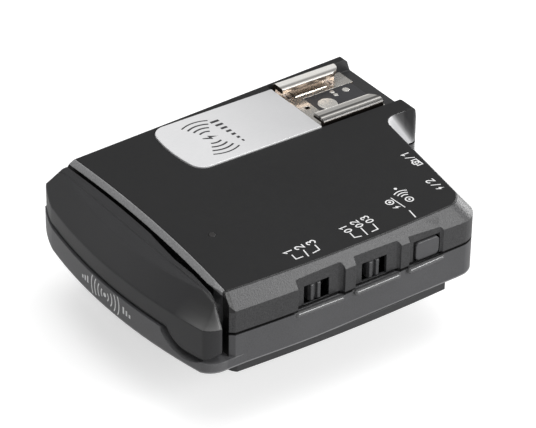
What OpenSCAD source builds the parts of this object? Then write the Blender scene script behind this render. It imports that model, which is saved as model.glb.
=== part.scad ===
// Wireless flash trigger: a flat transceiver with a flash shoe on top, a
// locking shoe foot below, a swing-up antenna, two slide switches, a test
// button and a battery door. Millimetres. Origin: centre of the foot's
// underside. +X runs from the antenna end to the shoe end, the switch side
// faces -Y (the far side +Y), +Z is up.
// The foot, its contacts and the lock ring are drawn in that frame. All other
// pieces are drawn in the case frame, with z = 0 at the case bottom.

/* [Body] */
// overall height of the deck above the case bottom
deck_z = 18.4; // [18.4:0.1:19]
// height of the parting line above the case bottom
part_z = 8.6; // [8.2:0.1:8.8]
// case wall thickness
wall = 1.7; // [1.5:0.1:1.9]
// horizontal run of the chamfer along the switch side
cham_y = 2.67; // [2.4:0.05:2.9]

/* [Shoe] */
// opening between the shoe's lips
lip_gap = 12.6; // [12.5:0.05:12.7]
// inner width of the shoe
shoe_in = 18.6; // [18.6:0.05:18.8]
// clear height under the lips
slot_h = 2.3; // [2.1:0.05:2.4]

/* [Foot] */
// width of the foot plate
foot_w = 18.5; // [18.3:0.05:18.55]
// length of the foot plate
foot_l = 18; // [17:0.1:18.2]
// thickness of the foot plate
foot_t = 2; // [1.9:0.05:2.05]

/* [Jacks] */
// bore radius of the sync jacks
jack_r = 1.8; // [1.77:0.01:1.85]

/* [Hidden] */
$fn = 48;

// axis of foot and shoe, and underside of the foot, in the case frame
axis = [66.7, 57.6];
axis_y = axis[1];
foot_z = -16.5;

// bowed wall on the switch side: a large circle seen from above
bow_r = 469;
bow = [31, bow_r - 0.96];
// hollow face at the antenna end
hollow_r = 336;
hollow = [1.15 - hollow_r, 43];
// bowed outer face of the antenna and its ledge
outer_r = 150;
outer = [outer_r - 10.65, 35];
// rounded corner between the switch side and the socket face
corner_r = 6;
corner_at = [62.47, 6.07];
socket_tilt = 3.55;   // degrees the socket face turns from the Y axis

far_y = 71.5;         // far side of the case
end_x = 82;           // shoe end of the case
step_y = 41.3;        // switch-side edge of the block under the shoe
label_t = 0.2;
top_z = deck_z - label_t;
chamfer_z = 14.3;     // where the deck chamfers start
chamfer_h = 4.1;      // height over which cham_y is reached
plate_sink = 0.25;    // depth of the name plate in the case
plate_gap = 0.24;     // gap round the name plate

wells = [[16.6, 29.3], [32.2, 45], [47.3, 57.2]];   // x range of each switch-side well
well_y = 0.45;                                      // floor of the wells
windows = [[18.9, 25.7], [34.6, 41.4]];             // x range of each switch window
case_screws_at = [[60.5, 4.6], [5.6, 44], [8.5, 63.4], [78.2, 66.4]];
lamp_at = [9.8, 22.6];
board_top = 4.05;     // top of the main board

// shoe
shoe_floor = 14.96;                // floor of the recess for the shoe
shoe_base = shoe_floor + 0.8;      // top of the shoe's base sheet
lip_z = shoe_base + slot_h;        // underside of the lips
rail_y = shoe_in/2 + 1.2;          // outer half width of the shoe
rail_x = 58;                       // antenna end of the shoe
shoe_screws_at = [for (x = [60.4, 72.8], side = [-1, 1]) [x, axis_y + side*7.7]];
// place, head radius, head height, stem radius (0 for no stem)
shoe_contact_table = [
  [axis, 2.4, 0.86, 0.8], [[74.2, 60.5], 0.9, 0.84, 0.6],
  [[70.8, 59.9], 0.6, 0.84, 0], [[70.8, 61.4], 0.6, 0.84, 0]];

// antenna
pivot = [7.2, 10.3];                   // pivot axis (y, z)
swing_r = 13.6;                        // clearance for swinging round the pivot
bar_screws_at = [[26, 11.2], [60, 11.2]];   // (y, z)

// foot, measured from its axis
foot_screws_at = [for (a = [45:90:360]) 7.4*[cos(a), sin(a)]];
foot_pins_at = [[0, 0], [-3.4, -3], [-3.4, 3], [2.8, -3], [2.8, 3]];
lock_pin_at = [6.6, 0];
boss_z = 4.1;                          // top of the foot plate's boss
centre = [0, 0];

// batteries and their door
cells_y = [16.9, 31.4];
cell_z = 8.3;
hinge = [60.2, -1.1];                  // hinge axis (x, z)
lugs_y = [13, 31];
lug_w = 4;

// ---- helpers ----

module in_case() {
  translate([-axis[0], -axis_y, -foot_z]) children();
}
function arc(mid, radius, from, to, steps) =
  [for (i = [0:steps]) let (a = from + (to - from)*i/steps) mid + radius*[cos(a), sin(a)]];

module box(from, to) {
  translate(from) cube(to - from);
}
// rods along each axis; at holds the other two coordinates
module rod_x(x0, x1, at, radius) {
  translate([x0, at[0], at[1]]) rotate([0, 90, 0]) cylinder(h = x1 - x0, r = radius);
}
module rod_y(y0, y1, at, radius) {
  translate([at[0], y0, at[1]]) rotate([-90, 0, 0]) cylinder(h = y1 - y0, r = radius);
}
module rod_z(z0, z1, at, radius) {
  translate([at[0], at[1], z0]) cylinder(h = z1 - z0, r = radius);
}
// fine-faceted upright cylinder or cone for the large bowed faces
module drum(at, z, h, r1, r2, facets = 720) {
  translate([at[0], at[1], z]) cylinder(h = h, r1 = r1, r2 = r2, $fn = facets);
}
// both mirror halves of the shoe, y measured from its centre line
module shoe_sides() {
  for (side = [-1, 1]) translate([0, axis_y, 0]) scale([1, side, 1]) children();
}

// ---- case form ----

// plan outline of the case without the bowed and hollow walls
module case_plan(inset) {
  polygon(concat(
    arc(corner_at, corner_r - inset, -90, -socket_tilt, 20),
    [[70.45 - inset, 37]],
    arc([74.4, 37.3], 4 + inset, 174, 90, 16),
    arc([end_x - 2.2, step_y + 2.2], 2.2 - inset, -90, 0, 8),
    arc([end_x - 3, far_y - 3], 3 - inset, 0, 90, 8),
    arc([3.2, far_y - 4], 4 - inset, 90, 170, 8),
    [[-2.6 + inset, 58], [-2.6 + inset, 2.55 + inset*1.3], [2.3 + inset*1.3, -1.3 + inset]]));
}

// block under a deck chamfer, tilted about the Y axis through its top edge
module slope_cut(angle, length) {
  rotate([0, angle, 0]) translate([-6, 0, 0]) cube([14, length, 6]);
}

// rounded corner whose chamfer turns from the switch side to the socket face
module chamfered_corner(inset) {
  low_z = 14.25 - inset*0.5;
  high_z = deck_z + 0.2 - inset*0.5;
  slice = 0.02;
  hull() {
    translate([corner_at[0], corner_at[1], low_z])
      cylinder(h = slice, r = corner_r - inset, $fn = 96);
    translate([50, -0.3 + inset, low_z]) cube([6, 20, slice]);
    translate([50, 20, low_z]) cube([19.35 - inset, 1, slice]);
    translate([59.6, 8.4, high_z]) cylinder(h = slice, r = 5.6 - inset*0.6, $fn = 96);
    translate([50, 2.51 + inset*0.6, high_z]) cube([6, 20, slice]);
    translate([50, 20, high_z]) cube([17.3 - inset, 1, slice]);
  }
}

// the whole case form inset all round, from z0 to z1, chamfers included
module body(inset, z0, z1) {
  start_z = chamfer_z - inset*0.5;
  cone_h = 4.6;
  wall_r = bow_r - inset;
  face_r = hollow_r + inset;
  difference() {
    intersection() {
      translate([0, 0, z0]) linear_extrude(z1 - z0) case_plan(inset);
      // bowed wall with its chamfer
      union() {
        drum(bow, -1, start_z + 1.01, wall_r, wall_r, 900);
        drum(bow, start_z, cone_h, wall_r, wall_r - cham_y*cone_h/chamfer_h, 900);
      }
    }
    // hollow face with its bevelled top edge
    drum(hollow, -2, 30, face_r, face_r);
    drum(hollow, deck_z - 1.45 - inset, 2.9, face_r, face_r + 2.2);
    // flat round the antenna's pivot, so that the bar swings past
    rod_x(-9, -0.55 + inset, pivot, swing_r);
    // chamfer over the rounded corner
    difference() {
      translate([56, -3, start_z]) cube([16, 15, 6]);
      chamfered_corner(inset);
    }
    // two slopes at the shoe end: [x, angle]
    for (cut = [[80.3, 72.5], [79.6, 40]])
      translate([cut[0] - inset*1.05, 30, deck_z]) slope_cut(cut[1], 60);
    // chamfer along the socket face
    translate([65, 5.7, deck_z]) rotate([0, 0, -9.3]) translate([-inset*1.2, -0.3, 0])
      slope_cut(50.3, 32.3);
    // long tapering chamfer on the far side
    translate([0.3, 66.3 - inset*1.1, deck_z]) rotate([0, 0, 3.08]) rotate([-61, 0, 0])
      translate([-12, -4, 0]) cube([100, 20, 8]);
  }
}

// the same form below its chamfers
module core(inset, z0, z1) {
  h = z1 - z0;
  difference() {
    intersection() {
      translate([0, 0, z0]) linear_extrude(h) case_plan(inset);
      drum(bow, z0 - 1, h + 2, bow_r - inset, bow_r - inset, 900);
    }
    drum(hollow, z0 - 1, h + 2, hollow_r + inset, hollow_r + inset);
  }
}

// wells in the switch side, with one rounded inner corner each
module well_cuts(z0) {
  round_r = 1.2;
  top = 19;
  for (well = wells) {
    x1 = well[1];
    box([well[0], -3, z0], [x1 - round_r, well_y, top]);
    box([well[0], -3, z0], [x1, well_y - round_r, top]);
    rod_z(z0, top, [x1 - round_r, well_y - round_r], round_r);
  }
}
module shoe_recess() {
  box([56.6, 46, shoe_floor], [90, 68.6, 30]);
}
module lamp_hole() {
  rod_z(14, 20, lamp_at, 0.85);
}
// openings that cross the parting line
module side_openings() {
  button_form(0.38, -2, 3.9);
  // pivot bore, and pocket for its washer and flange
  rod_x(-4, 4, pivot, 2.96);
  rod_x(1.2, 4, pivot, 5.2);
  at_jacks() rod_x(-3, 4, centre, 3.05);
}

// ---- upper case and deck ----

module upper_shell() {
  difference() {
    body(0, part_z, top_z);
    difference() {
      body(wall, part_z - 1, deck_z - 1.9);
      // solid left round the shoe recess and at the pivot
      box([54.9, 44.4, shoe_floor - 1.6], [90, 80, 30]);
      box([-9, -2, 0], [2.6, 16, 30]);
    }
    box([56.5, 46.4, part_z - 1], [end_x - wall, 67.6, shoe_floor - 1.6]);
  }
}
module upper_case() color([0.3, 0.3, 0.31]) in_case() difference() {
  union() {
    upper_shell();
    // screw bosses, the last one under the shoe recess
    for (i = [0:3])
      rod_z(part_z, i < 3 ? 16.6 : shoe_floor - 0.5, case_screws_at[i], 2.4);
  }
  for (p = case_screws_at) rod_z(part_z - 1, 13, p, 1);
  shoe_recess();
  well_cuts(part_z - 2);
  translate([0, 0, top_z - plate_sink]) linear_extrude(2) plate_plan(plate_gap);
  for (w = windows) box([w[0], -2, 8.75], [w[1], 3.9, 13.6]);
  side_openings();
  lamp_hole();
  // shoe screw and contact holes
  for (p = shoe_screws_at) rod_z(10, 16, p, 0.75);
  rod_z(10, 17, shoe_contact_table[0][0], 1.2);
  rod_z(10, 17, shoe_contact_table[1][0], 1);
}

module plate_plan(gap) {
  polygon(concat(
    [[56.6, 46 - gap], [56.6, 66.6 + gap]],
    arc([25.7, 62.8], 3.9 + gap, 92, 169.5, 14),
    arc([60.2, 56.4], 39 + gap, 170.5, 189.6, 14),
    arc([25.5, 49.9], 3.7 + gap, 190.6, 268, 14)));
}
module top_label() color([0.13, 0.13, 0.135]) in_case() difference() {
  body(0.12, top_z, deck_z);
  shoe_recess();
  translate([0, 0, top_z - 1]) linear_extrude(3) plate_plan(plate_gap);
  well_cuts(part_z);
  lamp_hole();
}
module name_plate() color([0.82, 0.82, 0.83]) in_case()
  translate([0, 0, top_z - plate_sink]) linear_extrude(0.75) plate_plan(0);

// ---- lower case ----

module lower_case() color([0.33, 0.33, 0.34]) in_case() {
  lower_shell();
  // rounded bead at the sill of each well
  sill_bead(15.9, 28.9, -0.72, -0.955);
  sill_bead(31.6, 44.6, -0.958, -0.76);
  sill_bead(46.6, 57.2, -0.69, -0.24);
}
module sill_bead(x0, x1, y0, y1) {
  radius = 0.72;
  shift_y = 0.14;
  z = 7.65;
  translate([x0 + radius, y0 + shift_y, z]) {
    sphere(r = radius);
    rotate([0, 90, atan2(y1 - y0, x1 - x0)]) cylinder(h = x1 - x0 - 2*radius, r = radius);
  }
  translate([x1 - radius, y1 + shift_y, z]) sphere(r = radius);
}
module lower_inside() {
  // pier that holds the pivot
  box([-3, -2, 0], [2.6, 16, part_z]);
  // battery bay ribs
  for (y = [8, 39.4]) box([2, y, 0], [57, y + 0.8, 7.5]);
  box([56.1, 8.2, 0], [56.5, 40, 3.5]);
  for (p = case_screws_at) rod_z(0, part_z, p, 2.6);
  // guide for the door carrier
  box([57, 10, 0], [67, 38, 2.4]);
}
module lower_shell() difference() {
  union() {
    difference() {
      body(0, 0, part_z);
      body(wall, 1.5, part_z + 1);
    }
    intersection() {
      body(0, 0, part_z);
      lower_inside();
    }
    antenna_ledge();
    box([-0.6, -0.15, 0], [3.3, 3, 2.4]);
    // turret above the lock ring
    translate([axis[0], axis_y, -5.9]) cylinder(h = 6, r1 = 13, r2 = 13.8);
  }
  // groove of the parting line
  groove_z = part_z - 0.32;
  difference() {
    box([-20, -20, groove_z], [100, 100, part_z + 1]);
    core(0.4, part_z - 1, part_z + 2);
  }
  for (w = wells) box([w[0] + 0.01, -3, groove_z], [w[1] - 0.6, well_y + 0.3, part_z + 1]);
  well_cuts(part_z - 0.7);
  for (p = case_screws_at) {
    rod_z(-1, part_z + 1, p, 1.1);
    rod_z(-1, 1.7, p, 2.1);
  }
  side_openings();
  // battery opening
  box([3, 9, -1], [55.8, 39.2, 1.6]);
  // slot for the door carrier, and openings for its lugs
  box([56.8, 11.8, 0.5], [67.5, 36.2, 1.4]);
  for (y = lugs_y) box([57.6, y - 0.2, -1], [65.2, y + lug_w + 0.2, 1]);
  // data socket
  box([18, 68, board_top], [26, 73, 8.15]);
  // foot column, its screws and the lock pin
  rod_z(-7, 3, axis, 5.05);
  rod_z(-7, -0.5, axis, 9.6);
  for (p = foot_screws_at) rod_z(-2, 3, axis + p, 0.95);
  rod_z(-7, 3, axis + lock_pin_at, 1.25);
}

// ledge that carries the antenna, with the round scoop for its knuckle
module ledge_plan(inset) {
  intersection() {
    translate(outer) circle(r = outer_r - inset, $fn = 720);
    polygon(concat(
      [[6, -0.15 + inset], [6, far_y - inset]],
      arc([-1.9, 69.2], 2.2 - inset, 90, 150, 4),
      arc([30.4, 50.4], 40.2 - inset, 151, 172, 10),
      [[-14, 55], [-14, 4.6]],
      arc([-2.6, 5.1], 5.25 - inset, 180, 270, 8)));
  }
}
module antenna_ledge() difference() {
  linear_extrude(5.8) ledge_plan(0);
  // hollow inside the ledge
  difference() {
    translate([0, 0, 1.5]) linear_extrude(2.7) ledge_plan(1.5);
    box([-20, -5, 0], [10, 18, 9]);
    box([1.4, -5, 0], [20, 90, 9]);
  }
  // scoop
  rod_x(-9.2, 0, pivot, 9.1);
  rod_x(-20, 0, pivot, 8.1);
  box([-20, -5, 2.4], [0, pivot[0], 9]);
  // trim at the case, leaving a strip behind the hollow face
  difference() {
    box([-0.5, -5, 0], [20, 90, 9]);
    translate([0, 0, -1]) linear_extrude(12) difference() {
      translate([0, 3]) square([1.2, 57]);
      translate(hollow) circle(r = hollow_r, $fn = 720);
    }
  }
}
module case_screws() color([0.3, 0.3, 0.3]) in_case() for (p = case_screws_at) difference() {
  union() {
    rod_z(0.5, 12.4, p, 0.97);
    rod_z(0.4, 1.68, p, 1.9);
  }
  // cross slot
  for (half = [[0.25, 1.2], [1.2, 0.25]])
    box([p[0] - half[0], p[1] - half[1], -1], [p[0] + half[0], p[1] + half[1], 0.8]);
}

// ---- shoe ----

module shoe_rails() color([0.78, 0.76, 0.72]) in_case() difference() {
  union() {
    box([rail_x, axis_y - rail_y, shoe_floor], [77.8, axis_y + rail_y, shoe_base]);
    shoe_sides() translate([rail_x, 0, 0])
      rotate([90, 0, 90]) linear_extrude(17.4) rail_section();
    // stop at the antenna end
    box([rail_x, 49, shoe_floor], [rail_x + 0.9, 66.2, shoe_floor + 1.6]);
  }
  // opening for the insulator, and a square hole beside it
  box([63.2, 52.6, shoe_floor - 1], [80, 62.6, shoe_floor + 2]);
  box([60.9, 58, shoe_floor - 1], [62.1, 59.2, shoe_floor + 2]);
  for (p = shoe_screws_at) {
    rod_z(10, 16, p, 0.85);
    rod_z(shoe_floor + 0.3, shoe_floor + 0.9, p, 1.3);
  }
  // rounded corners of the lips at the shoe end
  lip_r = 3.2;
  lip_y = lip_gap/2;
  shoe_sides() translate([75.4, 0, lip_z - 0.5]) difference() {
    box([-lip_r, lip_y - 1, 0], [1, lip_y + lip_r, 3]);
    rod_z(-1, 4, [-lip_r, lip_y + lip_r], lip_r);
  }
}
// section of one rail: an upright wall bent over into the lip
module rail_section() {
  lip_t = 1.3;
  bend_r = 1.25;
  edge_r = 0.45;
  polygon(concat(
    [[shoe_in/2, shoe_floor], [rail_y, shoe_floor]],
    arc([rail_y - bend_r, lip_z + lip_t - bend_r], bend_r, 0, 90, 10),
    arc([lip_gap/2 + edge_r, lip_z + lip_t - edge_r], edge_r, 90, 180, 5),
    [[lip_gap/2, lip_z], [shoe_in/2, lip_z]]));
}
module shoe_insulator() color([0.08, 0.08, 0.08]) in_case() difference() {
  box([63.23, 52.63, shoe_floor], [77, 62.57, shoe_base]);
  for (c = shoe_contact_table) rod_z(10, 17, c[0], c[1] + 0.02);
}
module shoe_contacts() color([0.85, 0.83, 0.78]) in_case() for (c = shoe_contact_table) {
  rod_z(shoe_floor, shoe_floor + c[2], c[0], c[1]);
  if (c[3] > 0) rod_z(11.6, shoe_floor, c[0], c[3]);
}
module shoe_spring() color([0.7, 0.68, 0.64]) in_case() shoe_sides()
  box([62, 6.6, shoe_base], [71.2, 9.1, shoe_base + 0.2]);
module shoe_screws() color([0.6, 0.6, 0.6]) in_case() for (p = shoe_screws_at) difference() {
  union() {
    rod_z(10.5, shoe_floor + 0.4, p, 0.73);
    rod_z(shoe_floor + 0.32, shoe_floor + 0.8, p, 1.25);
  }
  box([p[0] - 0.15, p[1] - 0.9, shoe_floor + 0.6], [p[0] + 0.15, p[1] + 0.9, shoe_floor + 1]);
}

// ---- antenna ----

// outline of the antenna bar seen from above
module bar_plan(inset) {
  intersection() {
    translate([hollow[0] - 1.25, hollow[1]]) circle(r = hollow_r - inset, $fn = 720);
    translate(outer) circle(r = outer_r - 0.45 - inset, $fn = 720);
    polygon(concat(
      [[4, 0.1 + inset], [4, 70.7 - inset]],
      arc([-1.9, 68.9], 1.8 - inset*0.9, 90, 150, 4),
      arc([30.4, 50.4], 39.9 - inset, 151, 172, 10),
      [[-14, 55], [-14, 5]],
      arc([-2.6, 5], 4.9 - inset, 180, 270, 8)));
  }
}
// side profile (y, z) with the round knuckle
module bar_profile(inset) {
  knuckle_r = 7.2;
  polygon(concat(
    arc([2.5, pivot[1] - knuckle_r + 2.4], 2.4 - inset, 180, 270, 6),
    arc(pivot, knuckle_r - inset, 270, 327, 8),
    [[13.6, 6.4 + inset], [70.7 - inset, 6.4 + inset], [70.7 - inset, 9.6],
     [65.9 - inset*0.4, 17.4 - inset], [4.2 + inset*0.4, 17.4 - inset], [0.1 + inset, 11]]));
}
// outer form of the antenna bar
module bar_form(inset) {
  bevel_z = 10.88 - inset*0.5;
  slope_z = 15.27 - inset*0.5;
  slope_r = outer_r - 3.9 - inset;
  corner = [-2.6, 5];
  intersection() {
    linear_extrude(30) bar_plan(inset);
    translate([-20, 0, 0]) rotate([90, 0, 90]) linear_extrude(40) bar_profile(inset);
    // bevel along the outer side, then the faintly sloping top
    union() {
      drum(outer, 0, bevel_z + 0.02, outer_r, outer_r);
      drum(outer, bevel_z, 4.4, outer_r - 0.45 - inset, slope_r);
      drum(outer, slope_z, 2.6, slope_r, outer_r - 5.9 - inset);
    }
    // bevel wrapped round the outer corner on the switch side
    union() {
      translate([-30, corner[1], 0]) cube([60, 100, 30]);
      translate([corner[0], -20, 0]) cube([60, 120, 30]);
      drum(corner, 0, bevel_z + 0.02, 4.9, 4.9, 96);
      drum(corner, bevel_z, 6.6, 4.97 - inset, 0.67 - inset*0.3, 96);
    }
    // bevel along the inner side
    difference() {
      translate([-30, -20, 0]) cube([60, 120, 30]);
      translate([hollow[0] - 1.25, hollow[1], 14.7 - inset])
        difference_cone();
    }
  }
}
// flaring cone that cuts the inner bevel
module difference_cone() {
  cylinder(h = 2.9, r1 = hollow_r - 13, r2 = hollow_r + 1.96, $fn = 720);
}
// space taken by the base plate inside the bar, from its outer face at x
module base_zone(x) {
  box([x, -1, 0], [4, 80, 30]);
}
module antenna_cover() color([0.24, 0.24, 0.25]) in_case() difference() {
  bar_form(0);
  // cavity, less the solid round the pivot and the screws
  difference() {
    bar_form(1.3);
    rod_x(-9, 3, pivot, 4.4);
    for (p = bar_screws_at) rod_x(-9, 3, p, 1.9);
  }
  base_zone(-2.5);
  rod_x(-5.1, 3, pivot, 2.9);
  for (p = bar_screws_at) rod_x(-5.5, 3, p, 0.9);
}
module antenna_base() color([0.22, 0.22, 0.23]) in_case() difference() {
  intersection() {
    bar_form(0);
    base_zone(-2.48);
  }
  intersection() {
    bar_form(1.3);
    box([-3, 22, 0], [-0.9, 80, 30]);
  }
  // flat that clears the case's corner as the bar swings
  rod_x(-1.4, 4, pivot, swing_r);
  linear_extrude(30)
    polygon([[-1.4, 17], [-1.4, 20.6], [-0.4, 31.5], [5, 31.5], [5, 17]]);
  rod_x(-5.1, 3, pivot, 2.9);
  for (p = bar_screws_at) {
    rod_x(-5.5, 3, p, 1);
    rod_x(-1.3, 3, p, 1.9);
  }
}
module antenna_element() color([0.72, 0.5, 0.3]) in_case() {
  box([-3.3, 16, 13.2], [-2.9, 57, 14.6]);
  box([-3.3, 16, 9.8], [-2.9, 18.2, 14.6]);
}
module antenna_pivot() color([0.62, 0.62, 0.63]) in_case() difference() {
  union() {
    rod_x(-4.9, 2.9, pivot, 2.88);
    rod_x(2.15, 2.9, pivot, 4.6);
  }
  rod_x(-7, 5, pivot, 1.7);
  box([-4.2, pivot[0] + 1.2, pivot[1] - 0.8], [-2.6, pivot[0] + 3.2, pivot[1] + 0.8]);
}
module antenna_washer() color([0.7, 0.7, 0.7]) in_case() difference() {
  rod_x(1.35, 2.1, pivot, 4.9);
  rod_x(0, 4, pivot, 2.98);
}
module antenna_screws() color([0.5, 0.5, 0.5]) in_case() for (p = bar_screws_at) difference() {
  union() {
    rod_x(-5.2, -0.8, p, 0.88);
    rod_x(-1.25, -0.6, p, 1.7);
  }
  box([-0.9, p[0] - 1.2, p[1] - 0.2], [0, p[0] + 1.2, p[1] + 0.2]);
}

// ---- switches and button ----

// slide knob with two ribs on its face and a stem behind
module knob(x) {
  box([x, 1, 9], [x + 3.3, 2.5, 13.4]);
  for (rib_x = [x + 0.1, x + 1.9]) hull() {
    box([rib_x, 0.8, 9], [rib_x + 1.15, 1.1, 13.4]);
    box([rib_x + 0.2, 0.35, 9.25], [rib_x + 0.95, 1.1, 13.15]);
  }
  box([x + 1, 2.4, 10.7], [x + 2.3, 5.2, 12.1]);
}
module channel_switch_knob() color([0.2, 0.2, 0.2]) in_case() knob(20.45);
module mode_switch_knob() color([0.2, 0.2, 0.2]) in_case() knob(36.35);
module slide_switch_bodies() color([0.7, 0.7, 0.72]) in_case() for (w = windows) difference() {
  box([w[0] - 1.2, 4.2, 9.1], [w[1] + 1.2, 6.6, 13.7]);
  box([w[0] + 0.9, 3, 10.5], [w[1] - 0.9, 5.6, 12.3]);
}
// rounded rectangle of the button (x, z), grown by gap
module button_outline(gap) {
  low = [49.4, 8.9];
  size = [6.5, 4.6];
  radius = 1.1;
  translate([low[0] + radius - gap, low[1] - gap])
    square([size[0] - 2*radius + 2*gap, size[1] + 2*gap]);
  translate([low[0] - gap, low[1] + radius - gap])
    square([size[0] + 2*gap, size[1] - 2*radius + 2*gap]);
  for (x = [radius, size[0] - radius], z = [radius, size[1] - radius])
    translate(low + [x, z]) circle(r = radius + gap);
}
module button_form(gap, y0, y1) {
  translate([0, y1, 0]) rotate([90, 0, 0]) linear_extrude(y1 - y0) button_outline(gap);
}
module test_button() color([0.32, 0.32, 0.33]) in_case() {
  button_form(0, 0.1, 2.9);
  box([51.7, 2.8, 10.2], [53.7, 3.4, 12.2]);
}
module test_switch() color([0.75, 0.75, 0.75]) in_case() {
  box([50, 5, 8.5], [55.4, 6.6, 13.9]);
  rod_y(4.1, 5.1, [52.7, 11.2], 1.5);
}

// ---- boards, lamp and sockets ----

module switch_board() color([0.1, 0.3, 0.16]) in_case()
  box([14, 6.6, 3.4], [57.6, 7.6, 15.6]);
module main_board() color([0.1, 0.3, 0.16]) in_case() difference() {
  box([12.2, 43.4, board_top - 1], [72.6, 69.2, board_top]);
  rod_z(0, 9, axis, 9.8);
}
module radio_module() color([0.75, 0.75, 0.77]) in_case() {
  box([30, 46, board_top], [50, 62, 5]);
  box([31, 47, 5], [49, 61, 7.6]);
}
module status_lamp() color([0.8, 0.2, 0.15]) in_case() {
  rod_z(15.5, 18.45, lamp_at, 0.8);
  rod_z(14.9, 15.6, lamp_at, 1.2);
}
// places children at each jack, x pointing out of the socket face
module at_jacks() {
  for (y = [13.6, 26.6])
    translate([68.46 + (y - 5.7)*0.062, y, 8.6]) rotate([0, 0, -socket_tilt]) children();
}
module sync_jacks() color([0.12, 0.12, 0.12]) in_case() at_jacks() difference() {
  union() {
    rod_x(-2.4, 0.35, centre, 2.95);
    translate([-10.8, -3.6, -3.4]) cube([8.8, 7.2, 6.8]);
  }
  rod_x(-9.6, 2, centre, jack_r);
}
module usb_socket() color([0.75, 0.75, 0.76]) in_case() difference() {
  box([18.1, 62.4, board_top + 0.01], [25.9, 71.3, 8.05]);
  box([18.6, 63.4, 4.5], [25.4, 72, 7.6]);
}

// ---- batteries and door ----

// two cells lying opposite ways round
module battery_cells() color([0.7, 0.6, 0.25]) in_case() {
  for (y = cells_y) rod_x(5.6, 54.8, [y, cell_z], 7.1);
  rod_x(54.7, 55.6, [cells_y[0], cell_z], 2.7);
  rod_x(4.7, 5.7, [cells_y[1], cell_z], 2.7);
}
module battery_contacts() color([0.8, 0.8, 0.8]) in_case() {
  box([3, 10, 2.4], [3.4, 23.6, 14]);
  box([3, 24.6, 2.4], [3.4, 38.4, 14]);
  rod_x(3.3, 4.68, [cells_y[1], cell_z], 2.2);
  box([55.62, 10, 2.4], [56.02, 38.4, 14]);
}
module spring_turn(x, y, radius) {
  translate([x, y, cell_z]) rotate([0, 90, 0]) rotate_extrude($fn = 32)
    translate([radius, 0]) circle(r = 0.35, $fn = 16);
}
module battery_springs() color([0.8, 0.8, 0.8]) in_case() {
  for (k = [0:3]) spring_turn(3.77 + k*0.46, cells_y[0], 3.8 - k*0.42);
  for (k = [0:2]) spring_turn(55.21, cells_y[1], 3.6 - k*0.5);
}

module door_plan() {
  polygon(concat(
    arc([3.8, 3.3], 4, 180, 270, 8),
    arc([56, 2.7], 3.4, 270, 360, 8),
    [[59.4, 9.6], [58.6, 9.9], [58.6, 38.1], [59.4, 38.4]],
    arc([57.6, 38.6], 1.8, 0, 90, 8),
    arc([4, 36.2], 4.2, 90, 180, 8)));
}
module hinge_bore() {
  rod_y(5, 45, hinge, 0.42);
}
module battery_door() color([0.3, 0.3, 0.31]) in_case() difference() {
  union() {
    intersection() {
      box([-0.2, -0.7, -1.95], [59.2, 40.4, -0.06]);
      drum(bow, -3, 6, bow_r - 0.25, bow_r - 0.25, 900);
      linear_extrude(6, center = true) door_plan();
    }
    // ribs on the inner face
    for (y = [10.2, 37.4]) box([8, y, -0.2], [50, y + 0.9, 0.7]);
    // hinge knuckles: y range of each
    for (span = [[10, 12.6], [17.6, 30.6], [35.4, 38]]) {
      rod_y(span[0], span[1], hinge, 0.75);
      box([57.4, span[0], -1.85], [hinge[0], span[1], -0.25]);
    }
  }
  hinge_bore();
  // finger grooves
  for (k = [0:4]) box([4 + k*1.6, 14, -3], [4.7 + k*1.6, 26, -1.8]);
}
module door_carrier() color([0.72, 0.72, 0.73]) in_case() difference() {
  union() {
    box([57.7, 12, 0.62], [63, 36, 1.26]);
    for (y = lugs_y) {
      box([59.6, y, -1.1], [60.8, y + lug_w, 1]);
      rod_y(y, y + lug_w, hinge, 0.78);
    }
  }
  hinge_bore();
}
module door_hinge_pin() color([0.65, 0.65, 0.66]) in_case() rod_y(10.1, 37.9, hinge, 0.38);

// ---- foot ----

module foot_plate() color([0.75, 0.75, 0.76]) difference() {
  union() {
    intersection() {
      translate([-foot_l/2, -foot_w/2, 0]) cube([foot_l, foot_w, foot_t]);
      rod_z(0, 9, centre, 11.9);
    }
    translate([-7.6, -6.15, 0]) cube([15.2, 12.3, boss_z]);
  }
  translate([-5.3, -4.6, -1]) cube([9.6, 9.2, 3]);
  rod_z(1.5, 21.5, centre, 3);
  rod_z(-1, 29, lock_pin_at, 1.1);
}
module foot_column() color([0.2, 0.2, 0.21]) difference() {
  union() {
    rod_z(boss_z, 15.9, centre, 9.4);
    rod_z(15, 18.2, centre, 5);
  }
  rod_z(3, 23, centre, 3);
  rod_z(3, 33, lock_pin_at, 1.1);
  for (p = foot_screws_at) rod_z(10, 20, p, 0.75);
}
module foot_insulator() color([0.07, 0.07, 0.07]) difference() {
  translate([-5.28, -4.58, 0]) cube([9.56, 9.16, 2]);
  for (p = foot_pins_at) rod_z(-1, 4, p, 0.75);
}
module foot_pins() color([0.83, 0.72, 0.4]) for (p = foot_pins_at)
  translate([p[0], p[1], -0.5]) {
    cylinder(h = 2.4, r = 0.72);
    sphere(r = 0.6);
  }
module foot_lock_pin() color([0.7, 0.7, 0.7]) rod_z(0.1, 17.3, lock_pin_at, 1.04);
module lock_ring() color([0.15, 0.15, 0.15]) translate([0, 0, 4.7]) difference() {
  cylinder(h = 5.6, r = 13.4);
  rod_z(-1, 8, centre, 9.48);
  // grip flutes
  for (k = [0:29]) rod_z(-1, 8, 14*[cos(k*12), sin(k*12)], 1, $fn = 24);
}
// plate inside the case with the four screws that hold the column
module foot_bracket() color([0.7, 0.7, 0.71]) in_case() difference() {
  union() {
    rod_z(1.55, 2.35, axis, 9.3);
    for (p = foot_screws_at) {
      rod_z(-3, 1.7, axis + p, 0.72);
      rod_z(2.3, 2.95, axis + p, 1.3);
    }
  }
  rod_z(-7, 9, axis, 5.05);
  rod_z(-7, 9, axis + lock_pin_at, 1.25);
}

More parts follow.
